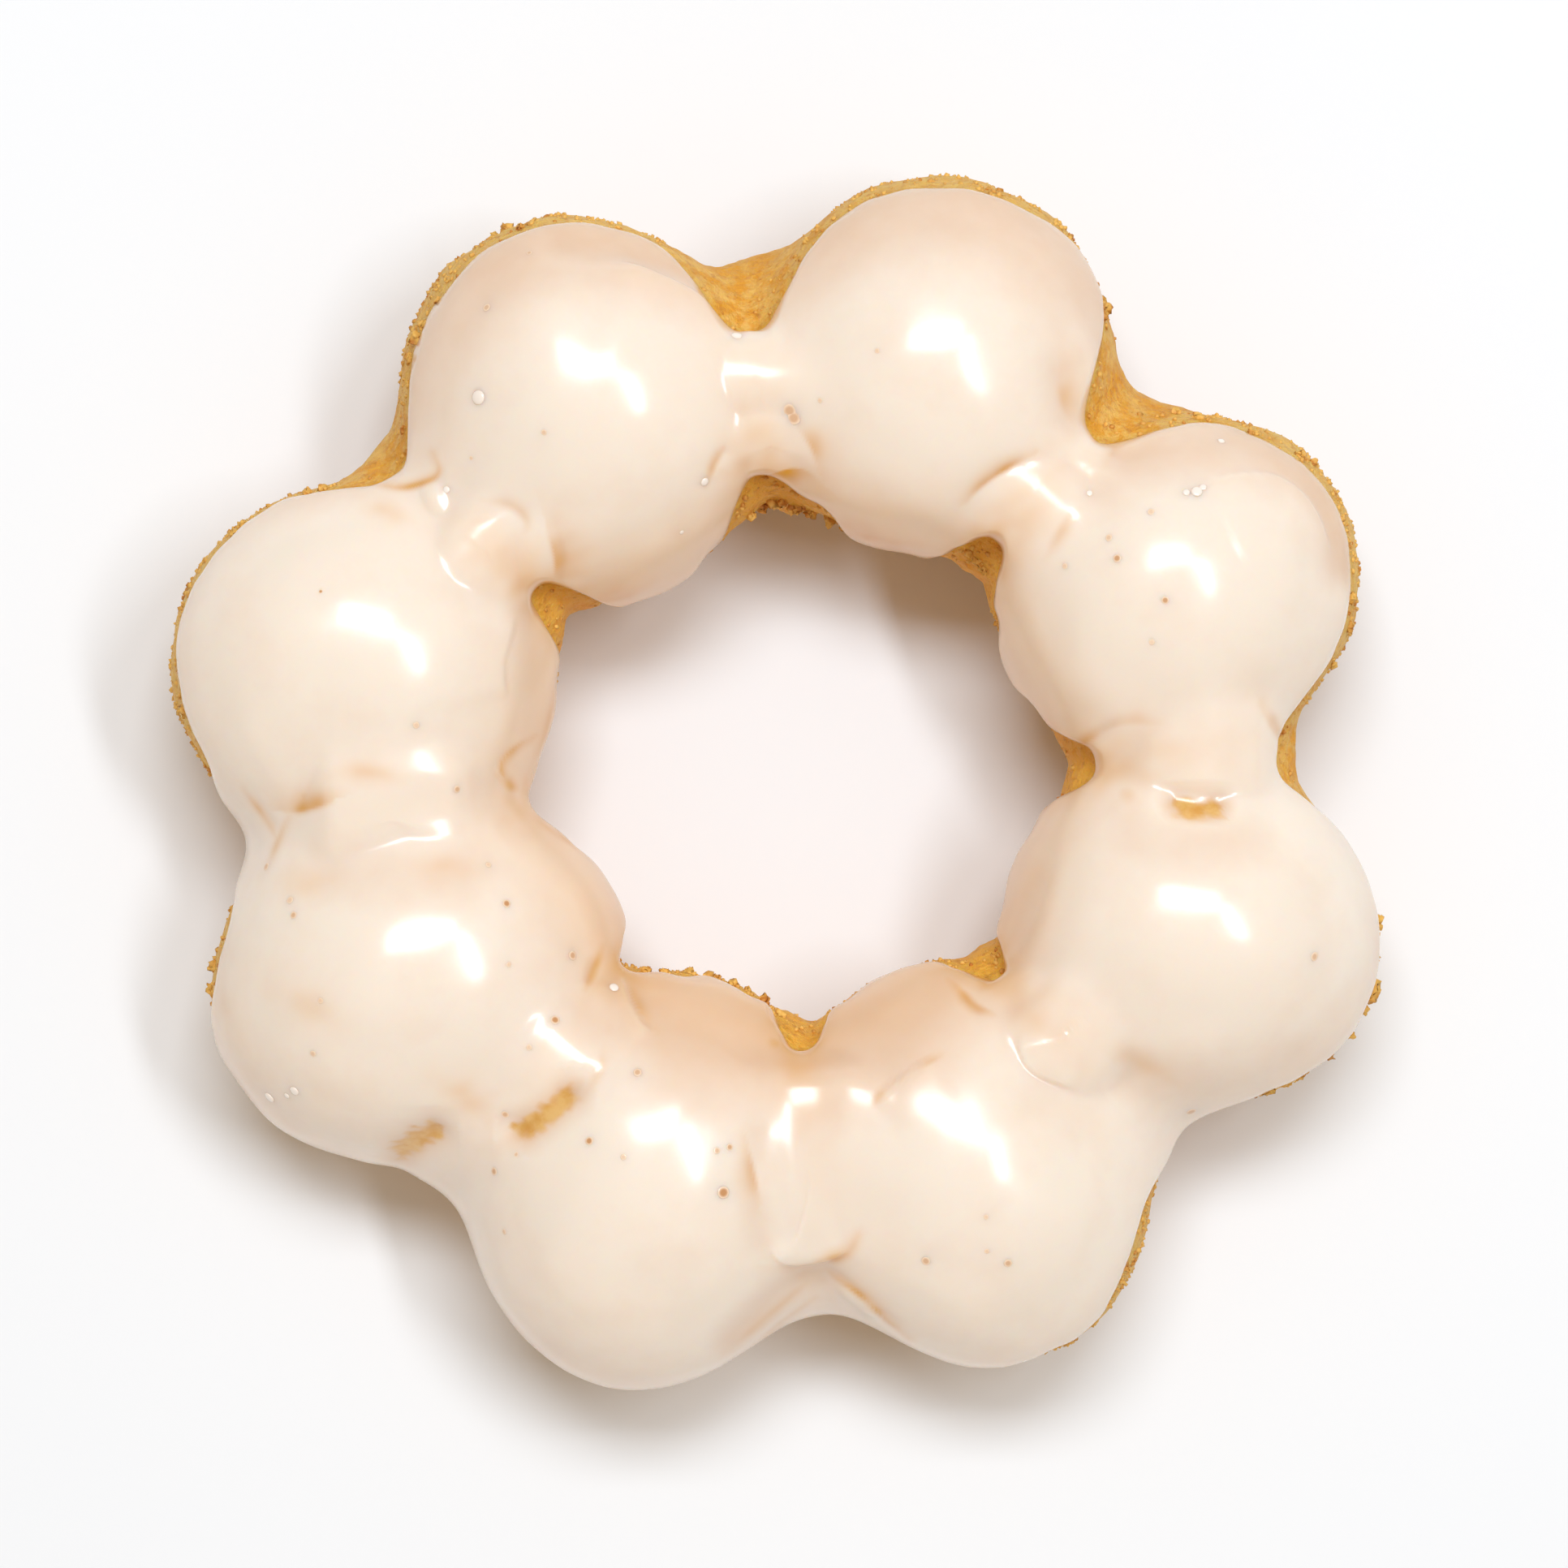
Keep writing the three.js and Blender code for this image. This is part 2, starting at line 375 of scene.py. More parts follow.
crust_finish, crust, shader = new_finish(
    "fried_crust", Roughness=0.6, Subsurface_Weight=0.6, Subsurface_Radius=(1.0, 0.55, 0.2),
    Subsurface_Scale=2.0 * MM,
)
pale_crust = colour(234, 184, 90)
gold_crust = colour(222, 158, 52)
brown_crust = colour(192, 116, 34)
# Painted light: a lighter amber for the crust on the hole's side, in place of the fill light its shade keeps
# off.
hole_side_lit_crust = colour(255, 188, 70)
oily_crust = colour(228, 156, 24)
lower_browning, neck_browning, cloud_browning, hole_browning = 0.6, 0.05, 2.3, 0.35
pale_to_gold = (-0.1, 0.7)
gold_to_brown = (0.75, 1.6)
oily_range, oily_share = (0.44, 0.58), 0.7
hole_side_lit_share = 0.7
speckle_range, speckle_share = (0.54, 0.70), 0.45
mean_grain = 0.5
cloudy = crust.grain(520.0, detail=5.0, roughness=0.65)
fine = crust.grain(1700.0, detail=4.0)
browning = crust.mark("below_edge") * lower_browning + crust.mark("in_neck") * neck_browning
browning = browning + (cloudy - mean_grain) * cloud_browning
browning = browning + crust.mark("on_hole_side") * hole_browning
gold = crust.blend(crust.between(browning, *pale_to_gold), pale_crust, gold_crust)
oily = crust.mark("in_neck") * crust.between(cloudy, *oily_range) * oily_share
gold = crust.blend(oily, gold, oily_crust)
brown = crust.blend(crust.between(browning, *gold_to_brown), gold, brown_crust)
# Painted light: the crust on the hole's side is painted lighter amber.
brown = crust.blend(crust.mark("on_hole_side") * hole_side_lit_share, brown, hole_side_lit_crust)
speckled = crust.blend(crust.between(fine, *speckle_range) * speckle_share, brown, brown_crust)
crust.feed(shader.inputs["Base Color"], speckled)
fine_share = 0.6
roughness_height = fine * fine_share + crust.grain(800.0, detail=5.0)
bumps = crust.node("ShaderNodeBump", Strength=0.8, Distance=0.8 * MM, Height=roughness_height)
crust.feed(shader.inputs["Normal"], bumps.outputs["Normal"])
dough_piece.data.materials.append(crust_finish)
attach(dough_piece, "root")
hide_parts("dough")

# Glaze. The ring was dipped face down in warm milky sugar glaze and turned over to set: a glossy coat about a
# millimetre thick that pools and folds in the necks, runs to an uneven rounded edge down the sides, and lets
# the crust show where it drained away.

# Thickness and swell in millimetres, and steps of the grid round the ring, over it and back underneath.
glaze_thickness = 1.05
glaze_fuse = 1.65
glaze_around, glaze_across, glaze_under = 760, 122, 6


def bell(away):
    return np.exp(-(away ** 2))


def in_a_neck(bearing):
    """How far into the necks a bearing is: 1 in the middle of one, towards 0 on the balls."""
    neck_width = 10.0
    from_neck = np.abs((bearing[..., None] - neck_bearing + 180) % 360 - 180).min(axis=-1)
    return bell(from_neck / neck_width)


def crowded_bearings(count):
    """Bearings round the ring, closer together in the necks, where the glaze folds."""
    small_step = 0.1
    extra_in_necks = 1.8
    even = np.arange(0, 360, small_step)
    turn = np.concatenate([[0], np.cumsum(1 + extra_in_necks * in_a_neck(even))])
    return np.interp(np.arange(count) / count, turn / turn[-1], np.append(even, 360))


round_bearing = crowded_bearings(glaze_around)
run_past = 5.0


def glaze_grid(shares):
    """Bearings and leans of the glaze at shares of the way over it, from the outer edge to the hole's."""
    bearing = np.repeat(round_bearing[:, None], len(shares), axis=1)
    outer = skirt(bearing) + run_past
    return bearing, outer - (lining(bearing) + run_past + outer) * shares


top_bearing, top_lean = glaze_grid(np.linspace(0, 1, glaze_across))
bare_distance = surface_distance(top_bearing, top_lean, dough_fuse, 0.0)
coated_distance = surface_distance(top_bearing, top_lean, glaze_fuse, glaze_thickness)
smooth_top = from_core(top_bearing, top_lean, coated_distance)

# The camera looks straight down, so a place in the photograph is a place on the upper side: where the camera
# is in millimetres, and the photograph's middle and the focal length in pixels.
camera_place = np.array((0.27, -0.1, 450.0))
photo_middle = 966.0
pixel_focus = 7255.0


def photo_place(points):
    """Where points are seen, in pixels of the photograph from its upper left corner."""
    away = points - camera_place
    spread = pixel_focus / -away[..., 2]
    return np.stack([photo_middle + away[..., 0] * spread, photo_middle - away[..., 1] * spread], axis=-1)


seen = photo_place(smooth_top)
seen_until = 98
in_view = np.abs(top_lean) < seen_until


def rounded_line(corners):
    """A line through corners, its bends cut round."""
    line = np.asarray(corners, float)
    rounds = 3
    near, far = 0.75, 0.25
    for _ in range(rounds):
        cuts = [near * line[:-1] + far * line[1:], far * line[:-1] + near * line[1:]]
        line = np.concatenate([line[:1], np.stack(cuts, axis=1).reshape(-1, 2), line[-1:]])
    return line


def near_line(corners, width):
    """The glaze points seen within three widths of a line: which, how far to its right and how far along."""
    margin = 3 * width
    line = rounded_line(corners)
    within = (seen > line.min(axis=0) - margin) & (seen < line.max(axis=0) + margin)
    which = np.nonzero(within.all(axis=-1) & in_view)
    place = seen[which][:, None]
    start, run = line[:-1], np.diff(line, axis=0)
    length = np.hypot(*run.T)
    share = np.clip(((place - start) * run).sum(axis=-1) / length ** 2, 0, 1)
    away = place - start - share[..., None] * run
    apart = np.hypot(away[..., 0], away[..., 1])
    nearest = apart.argmin(axis=1)
    rows = np.arange(len(nearest))
    side = np.sign(run[nearest, 0] * away[rows, nearest, 1] - run[nearest, 1] * away[rows, nearest, 0])
    travelled = np.cumsum(length)[nearest] - length[nearest] * (1 - share[rows, nearest])
    return which, apart[rows, nearest] * np.where(side == 0, 1, side), travelled / length.sum()


def faded_ends(along, fade):
    """1 along a line, fading to 0 at both ends over a share of its length."""
    return ramp(0, fade, along) * ramp(1, 1 - fade, along)


relief, stain_and_shade, thinned, drained = np.zeros((4, *top_lean.shape))

# Pools that stood in the necks as the glaze set. Each row: middle in photo pixels, height there in
# millimetres, degrees it faces to the right and up the picture, radii of its dome in millimetres across the
# ring and along it, below zero if hollow, which way across is, clockwise in degrees from the right, how far
# it reaches that way, the side where its foot is a crease, clockwise too, and how sharp, from 0 to 1.
pools = (
    (942, 480, 23.6, -5, -10, 3.6, -60, 88, 3.0, 170, 0.8),
    (1265, 622, 23.8, -5, -9, 4.5, 40, 130, 3.0, 225, 1.0),
    (1485, 930, 23.2, 3, -7, 8.0, 60, 2, 3.5, 90, 1.0),
    (1315, 1285, 23.9, -4, -6, 6.0, 40, 45, 3.0, 125, 1.0),
    (985, 1440, 23.3, 1, -9, 16.0, -10, 90, 6.0, 180, 0.0),
    (684, 1342, 24.25, -9, -12, 6.0, 12, 132, 3.0, 40, 1.0),
    (484, 1012, 23.9, 7, -12, 16.0, 400, 0, 4.0, 90, 1.0),
    (600, 680, 23.4, 8, -5.5, 5.0, 40, 40, 2.5, 140, 1.0),
    (951, 550, 22.5, 0, -26, 3.5, 9, 90, 1.6, 90, 1.0),
)
steep_range = (25, 80)
steep = ramp(*steep_range, np.abs(top_lean))
steep_thinning = 0.4
flank_thinning = 1 - steep_thinning * steep
plain_distance = bare_distance + (coated_distance - bare_distance) * flank_thinning

# In millimetres: how far below and above the coat a pool's level is searched for, how round its foot is, and
# how far out it fades.
deepest, highest = 2.0, 3.0
halvings = 14
crisp_foot, melted_foot = 0.10, 0.45
crease_range = (0.1, 0.8)
pool_end = 0.30
spread_out = 6.0
fades_across = (spread_out, 2.0)
fades_along = (7.0, 3.0)
for x, y, top, right, up, across_radius, along_radius, turn, reach, side, crisp in pools:
    offset = np.array((x - photo_middle, photo_middle - y)) * (camera_place[2] - top) / pixel_focus
    middle = camera_place[:2] + offset
    turn = np.radians(turn)
    away = np.hypot(*np.moveaxis(smooth_top[..., :2] - middle, -1, 0))
    which = np.nonzero(away < reach + spread_out)
    below = plain_distance[which] - deepest
    over = plain_distance[which] + highest
    for _ in range(halvings):
        tried = (below + over) / 2
        place = from_core(top_bearing[which], top_lean[which], tried)
        east, north = (place[:, :2] - middle).T
        across = east * np.cos(turn) - north * np.sin(turn)
        along = east * np.sin(turn) + north * np.cos(turn)
        level = top - east * np.tan(np.radians(right)) - north * np.tan(np.radians(up))
        level -= across ** 2 / 2 / across_radius + along ** 2 / 2 / along_radius
        level -= pool_end * np.maximum(np.abs(across) - reach, 0) ** 2
        inside = place[:, 2] < level
        below = np.where(inside, tried, below)
        over = np.where(inside, over, tried)
    side = np.radians(side)
    towards = (east * np.cos(side) - north * np.sin(side)) / np.hypot(east, north)
    foot = melted_foot + (crisp_foot - melted_foot) * crisp * ramp(*crease_range, towards)
    held = foot * np.logaddexp(relief[which] / foot, (below - plain_distance[which]) / foot) - relief[which]
    held *= ramp(*fades_across, away[which] - reach)
    relief[which] += held * ramp(*fades_along, np.abs(along))

# Smaller drops that swell above the coat: middle in photo pixels, half-length, half-width, turn clockwise in
# degrees, height in millimetres, and how softly its foot meets the coat (0.1 is a crease, 0.4 melts in).
swellings = (
    (1338, 470, 66, 34, 80, 0.45, 0.25),
    (1322, 548, 46, 30, 40, 0.18, 0.3),
    (1250, 1216, 42, 28, -15, 0.5, 0.2),
    (736, 1120, 60, 40, 70, 0.5, 0.3),
    (664, 690, 60, 30, 85, 0.55, 0.2),
    (535, 613, 24, 15, 60, 0.35, 0.2),
)
for x, y, half_length, half_width, turn, high, foot in swellings:
    turn = np.radians(turn)
    dx, dy = seen[..., 0] - x, seen[..., 1] - y
    along = (dx * np.cos(turn) + dy * np.sin(turn)) / half_length
    beside = (dy * np.cos(turn) - dx * np.sin(turn)) / half_width
    dome = foot * np.logaddexp(0, (1 - along ** 2 - beside ** 2) / foot)
    relief += np.where(in_view, high * dome, 0)

# Folds of glaze that slid and set, and creases where they meet: half-width in pixels, height in millimetres,
# below zero for a crease, and corners.
folds = (
    (18, 0.55, (715, 318), (790, 340), (845, 358), (880, 380), (915, 412)),
    (16, 0.25, (905, 404), (935, 416), (970, 420)),
    (22, 0.25, (1400, 548), (1450, 556), (1520, 556), (1590, 572), (1640, 625)),
    (14, 0.25, (765, 1185), (780, 1225), (795, 1262)),
    (12, 0.55, (1025, 1584), (1060, 1608), (1092, 1636)),
    (14, 0.2, (940, 1500), (962, 1545), (1000, 1548), (1045, 1528)),
    (8, -0.15, (903, 547), (880, 567), (872, 590)),
    (12, -0.05, (780, 380), (830, 393), (863, 410), (880, 423)),
    (7, -0.22, (1190, 617), (1227, 583), (1273, 558)),
    (9, -0.1, (1327, 627), (1303, 660), (1283, 687)),
    (9, -0.15, (1367, 567), (1378, 552), (1370, 533)),
    (8, -0.2, (1305, 965), (1313, 935), (1335, 915), (1360, 900), (1390, 885)),
    (7, -0.15, (1555, 875), (1575, 910), (1592, 928)),
    (8, -0.2, (1173, 1212), (1187, 1225), (1200, 1240), (1220, 1247)),
    (6, -0.1, (923, 1420), (933, 1470)),
    (6, -0.18, (1015, 1560), (1030, 1575), (1060, 1595), (1085, 1620), (1115, 1645)),
    (8, -0.18, (742, 1170), (733, 1190), (722, 1215)),
    (7, -0.14, (300, 970), (330, 1015), (345, 1030)),
    (7, -0.1, (480, 598), (512, 606), (548, 587), (541, 560)),
    (9, -0.12, (563, 632), (592, 637), (623, 620), (648, 640), (652, 662)),
    (5, -0.1, (640, 917), (615, 940), (612, 955), (637, 977)),
)
fold_fade = 0.3
for half_width, high, *corners in folds:
    which, right, along = near_line(corners, half_width)
    relief[which] += high * bell(right / half_width) * faded_ends(along, fold_fade)

# Edges of an upper layer of glaze, raised on the right of each line: height, how far it carries on in pixels,
# and corners.
layer_edges = (
    (0.5, 70, (760, 318), (830, 348), (863, 363), (890, 387), (914, 402), (956, 408)),
    (0.4, 70, (1463, 607), (1490, 590), (1523, 582), (1567, 580), (1600, 597), (1630, 627), (1650, 690)),
    (0.25, 70, (640, 758), (630, 793), (620, 823), (628, 865)),
    (0.3, 60, (770, 1195), (780, 1240), (790, 1257), (805, 1272)),
    (0.22, 30, (1075, 1362), (1100, 1337), (1130, 1316), (1160, 1301)),
    (0.3, 55, (1330, 1343), (1297, 1333), (1270, 1320), (1257, 1300), (1257, 1273)),
    (0.35, 50, (1050, 1535), (1000, 1557), (965, 1559), (946, 1535)),
)
step_width = 6.0
edge_fade = 0.2
for high, carry, *corners in layer_edges:
    which, right, along = near_line(corners, carry)
    rise = ramp(-step_width / 2, step_width / 2, right) * np.exp(-np.maximum(right, 0) / carry)
    relief[which] += high * rise * faded_ends(along, edge_fade)

# Bands where the coat is thin and the crust tints it: half-width in pixels, strength and corners.
thin_bands = (
    (22, 0.75, (690, 294), (790, 310), (850, 334), (900, 380)),
    (34, 0.85, (1390, 560), (1480, 548), (1570, 552), (1640, 606), (1664, 690)),
    (30, 0.6, (1310, 460), (1322, 508)),
    (25, 0.5, (1385, 545), (1420, 535)),
    (28, 0.5, (665, 770), (668, 830), (660, 900)),
    (42, 0.6, (800, 1222), (860, 1248), (925, 1284)),
    (34, 0.45, (1080, 1240), (1140, 1215)),
    (30, 0.4, (1262, 1080), (1232, 1150)),
    (26, 0.6, (900, 1660), (960, 1600), (1018, 1578)),
    (40, 0.35, (1280, 1350), (1330, 1385)),
    (34, 0.35, (1400, 1330), (1500, 1345), (1600, 1300)),
    (20, 0.4, (935, 1400), (925, 1460), (940, 1530)),
    (30, 0.35, (1400, 560), (1360, 600)),
    (40, 0.45, (410, 1078), (480, 1082), (570, 1076)),
    (36, 0.45, (1390, 1030), (1450, 1040), (1540, 1034)),
)
for half_width, strength, *corners in thin_bands:
    which, right, _ = near_line(corners, half_width)
    thinned[which] = np.maximum(thinned[which], strength * bell(right / half_width))

# Patches that drained bare, ragged and with a thin coat round them: half-width in pixels and corners.
bare_patches = (
    (11, (645, 1393), (672, 1375), (700, 1350)),
    (12, (488, 1424), (508, 1410), (528, 1400)),
    (10, (1450, 994), (1475, 998), (1500, 997)),
)
ragged_depth, ragged_width = 5.0, 1.1
patch_full, patch_gone = 0.5, 1.5
halo_widths = 2
for half_width, *corners in bare_patches:
    which, right, _ = near_line(corners, half_width)
    apart = np.abs(right) + ragged_depth * uneven(smooth_top[which], ragged_width, seed=31)
    bare = ramp(patch_gone * half_width, patch_full * half_width, apart)
    drained[which] = np.maximum(drained[which], bare)
    thinned[which] = np.maximum(thinned[which], bell(right / half_width / halo_widths))

# The edge wanders, in degrees, with bends that wide in millimetres. The coat rounds down to it over the
# feather and ends below the crust.
wide_wander, wide_bend = 1.6, 9.0
small_wander, small_bend = 0.9, 2.6
wander = wide_wander * uneven(smooth_top, wide_bend, seed=21)
wander += small_wander * uneven(smooth_top, small_bend, seed=22)
from_lining = np.radians(lining(top_bearing) + top_lean + wander) * coated_distance
from_skirt = np.radians(skirt(top_bearing) - top_lean + wander) * coated_distance
inside_edge = np.minimum(from_lining, from_skirt)
feather = 3.0
share_in = np.clip(inside_edge / feather, 0, 1)
rounded = share_in * (2 - share_in)
sunk_depth, sunk_run = 0.5, 0.6
sunk = sunk_depth * np.clip(-inside_edge / sunk_run, 0, 1)

# Millimetres of glaze on the crust, with soft waves in two sizes.
thinned_loss = 0.5
wave_height, wave_width = 0.10, 11.0
ripple_height, ripple_width = 0.05, 5.0
thinnest = 0.25
thickness = (coated_distance - bare_distance) * (1 - thinned_loss * thinned) * flank_thinning
thickness += relief * flank_thinning
thickness += wave_height * uneven(smooth_top, wave_width, seed=23)
thickness += ripple_height * uneven(smooth_top, ripple_width, seed=24)
thickness = np.maximum(thickness, thinnest) * rounded - sunk
glaze_top = from_core(top_bearing, top_lean, bare_distance + thickness)
seen = photo_place(glaze_top)

# Golden stains where the crust shows through creases, thin folds and the rim of the hole, and soft tan
# painted shade in the valleys between balls and under creases, where the broad soft halos are painted shade:
# how many pixels they run out to the right of the line and to its left, strength and corners.
stain_and_shade_lines = (
    (9, 9, 0.5, (895, 548), (880, 567), (870, 598)),
    (4, 34, 0.85, (1012, 596), (985, 574), (939, 590), (900, 580)),
    (5, 26, 0.6, (985, 528), (1003, 552), (1010, 580)),
    (8, 24, 0.65, (1010, 636), (1050, 660), (1100, 680), (1150, 690)),
    (8, 18, 0.6, (885, 680), (905, 660), (935, 628)),
    (5, 13, 0.8, (1190, 619), (1205, 600), (1235, 578), (1275, 559)),
    (12, 12, 0.35, (1327, 627), (1312, 650), (1287, 690)),
    (10, 14, 0.4, (1362, 575), (1372, 550), (1392, 528), (1417, 516)),
    (8, 30, 0.35, (1306, 460), (1308, 492), (1322, 520)),
    (22, 22, 0.7, (1175, 668), (1205, 682), (1222, 720)),
    (6, 18, 0.85, (1300, 972), (1313, 935), (1335, 915), (1362, 900)),
    (10, 16, 0.35, (1355, 899), (1390, 886), (1432, 892)),
    (6, 16, 0.55, (1553, 868), (1575, 908), (1596, 932)),
    (10, 14, 0.65, (1604, 950), (1600, 915), (1606, 880), (1628, 838)),
    (16, 16, 0.35, (1372, 970), (1404, 985)),
    (14, 14, 0.45, (1440, 990), (1475, 1000), (1512, 994)),
    (10, 10, 0.6, (1150, 1187), (1185, 1191), (1224, 1190)),
    (10, 8, 0.9, (1168, 1206), (1187, 1225), (1200, 1240), (1224, 1249)),
    (22, 22, 0.28, (1340, 1287), (1400, 1305), (1440, 1325), (1455, 1345)),
    (16, 16, 0.9, (978, 1276), (1010, 1285)),
    (13, 13, 0.5, (943, 1279), (967, 1291)),
    (18, 4, 0.55, (919, 1405), (927, 1445), (936, 1482)),
    (24, 4, 0.4, (950, 1560), (990, 1562), (1040, 1545)),
    (10, 12, 0.75, (1008, 1556), (1045, 1546), (1058, 1522)),
    (5, 12, 0.85, (1010, 1556), (1030, 1575), (1060, 1595), (1085, 1620), (1120, 1650)),
    (9, 9, 0.4, (893, 1668), (947, 1622), (997, 1577)),
    (6, 6, 0.4, (915, 1670), (960, 1632), (1006, 1598)),
    (5, 8, 0.45, (1074, 1364), (1095, 1340)),
    (5, 8, 0.45, (1134, 1313), (1160, 1301)),
    (9, 12, 0.8, (743, 1166), (733, 1190), (721, 1220)),
    (4, 14, 0.5, (768, 1192), (785, 1240), (804, 1268)),
    (8, 10, 0.35, (743, 1287), (741, 1320), (717, 1352)),
    (26, 26, 0.3, (535, 1330), (572, 1350), (606, 1380)),
    (18, 18, 0.4, (620, 1412), (672, 1378), (715, 1338)),
    (16, 16, 0.35, (480, 1428), (512, 1412), (545, 1390)),
    (6, 26, 0.95, (352, 998), (375, 998), (408, 987)),
    (10, 14, 0.6, (365, 985), (385, 982)),
    (18, 18, 0.34, (405, 958), (449, 947), (495, 960)),
    (22, 22, 0.2, (500, 1068), (545, 1066), (590, 1072)),
    (6, 8, 0.55, (300, 972), (335, 1019), (342, 1040)),
    (6, 8, 0.5, (358, 1002), (344, 1032), (328, 1072)),
    (30, 30, 0.26, (350, 1222), (380, 1238), (415, 1262)),
    (26, 26, 0.24, (330, 1085), (370, 1092), (410, 1085)),
    (22, 22, 0.2, (272, 1200), (282, 1260), (312, 1320)),
    (5, 9, 0.8, (662, 905), (632, 922), (616, 940), (618, 955), (640, 980)),
    (12, 12, 0.85, (616, 955), (642, 978)),
    (7, 7, 0.6, (656, 1006), (690, 1030), (725, 1052)),
    (6, 10, 0.4, (640, 975), (668, 920), (688, 850), (690, 790)),
    (6, 9, 0.85, (456, 595), (490, 602), (515, 598), (545, 585), (534, 558)),
    (18, 18, 0.28, (450, 622), (480, 632), (508, 640)),
    (8, 10, 0.38, (594, 617), (632, 620), (652, 640), (645, 660)),
    (5, 42, 0.75, (676, 655), (687, 690), (682, 726)),
    (8, 22, 0.5, (690, 735), (715, 742), (760, 738), (800, 728)),
)
mean_strength, broken_strength, broken_width = 0.9, 0.25, 2.0
broken = mean_strength + broken_strength * uneven(smooth_top, broken_width, seed=25)
core_share, core_narrower = 0.5, 2
end_strength, stain_fade = 0.3, 0.45
for run_right, run_left, strength, *corners in stain_and_shade_lines:
    which, right, along = near_line(corners, max(run_right, run_left))
    run = np.where(right > 0, run_right, run_left)
    streak = core_share * bell(core_narrower * right / run)
    streak += (1 - core_share) * bell(right / run)
    streak *= strength * (end_strength + (1 - end_strength) * faded_ends(along, stain_fade)) * broken[which]
    stain_and_shade[which] = np.maximum(stain_and_shade[which], streak)

# Towards its edges the coat is golden from the crust below it, most of all in the necks on the hole's side:
# strengths, and how far in it carries in millimetres.
neck_strength, neck_carry = 0.95, 4.5
rim_strength, rim_carry = 0.70, 0.8
golden_neck = neck_strength * in_a_neck(top_bearing) * np.exp(-np.maximum(from_lining, 0) / neck_carry)
golden_rim = rim_strength * np.exp(-np.maximum(inside_edge, 0) / rim_carry)
stain_and_shade = np.maximum(stain_and_shade, np.maximum(golden_neck, golden_rim) * broken)

under_bearing, under_lean = glaze_grid(np.linspace(1, 0, glaze_under))
sunk_in_dough = 1.2
under_distance = surface_distance(under_bearing, under_lean, dough_fuse, -sunk_in_dough)
glaze_points = np.concatenate([glaze_top, from_core(under_bearing, under_lean, under_distance)], axis=1)


def with_underside(mark):
    return np.concatenate([mark, np.zeros_like(under_lean)], axis=1)


# How well the coat hides the crust: less where it ran off the steep flanks, and darker and tan-tinted on the
# far side.
# The glaze on the hole's side gets painted light, painted warmer and lighter for light bounced from the
# hole's crust.
far_range = (0.2, 0.8)
steep_loss, far_side_tint, thinned_fade = 0.12, 0.70, 0.6
hiding_thickness = 0.9
painted_bounce, painted_bounce_range = 0.75, (30, 80)
far_side = np.sin(np.radians(top_lean)) * np.sin(np.radians(top_bearing))
# Tinted darker and tan on the steep flanks, where the coat is thinner, and most of all on the far side.
flank_and_far_tint = steep_loss * steep + far_side_tint * ramp(*far_range, far_side)
# Painted light: how strongly the glaze on the hole's side is painted warmer and lighter, as if lit from its
# crust.
painted_hole_bounce = painted_bounce * ramp(*painted_bounce_range, -top_lean)
cover = ramp(0.0, hiding_thickness, thickness) * (1 - thinned_fade * thinned) * (1 - flank_and_far_tint)
glaze_piece = ring_piece("milky_glaze", glaze_points, {
    "cover": with_underside(cover), "stain_and_shade": with_underside(stain_and_shade), "drained": with_underside(drained),
    "painted_hole_bounce": with_underside(painted_hole_bounce),
})
milk_finish, milk, shader = new_finish(
    "milky_sugar_glaze", Roughness=0.21, IOR=1.6, Subsurface_Weight=0.8, Subsurface_Radius=(1.0, 0.75, 0.5),
    Subsurface_Scale=2.2 * MM,
)
thin_glaze = colour(226, 190, 156)
full_glaze = colour(246, 231, 216)
# Painted light: a warmer, lighter glaze standing for light bounced from the hole's crust.
bounce_lit_glaze = colour(248, 218, 186)
# Golden tan for stains where the crust shows, and for painted shade in the valleys and under creases.
stained_and_shaded_glaze = colour(222, 162, 62)
bare_film = colour(236, 194, 122)
drained_crust = colour(224, 168, 84)
wide_mottle, fine_mottle = 0.45, 0.15
film_range = (0.30, 0.70)
mottled = milk.mark("cover") + (milk.grain(160.0) - mean_grain) * wide_mottle
mottled = mottled + (milk.grain(600.0) - mean_grain) * fine_mottle
milky = milk.blend(mottled, thin_glaze, full_glaze)
bounce_lit = milk.blend(milk.mark("painted_hole_bounce"), milky, bounce_lit_glaze)
stained_and_shaded = milk.blend(milk.mark("stain_and_shade"), bounce_lit, stained_and_shaded_glaze)
crust_film = milk.blend(milk.between(milk.grain(700.0), *film_range), drained_crust, bare_film)
milk.feed(shader.inputs["Base Color"], milk.blend(milk.mark("drained"), stained_and_shaded, crust_film))
glaze_piece.data.materials.append(milk_finish)
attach(glaze_piece, "root")
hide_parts("glaze")

# Freckles. Pinholes and thin spots in the glaze that let a dot of browned crust show through: flat tan lenses
# in the surface of the glaze, soft at the rim.


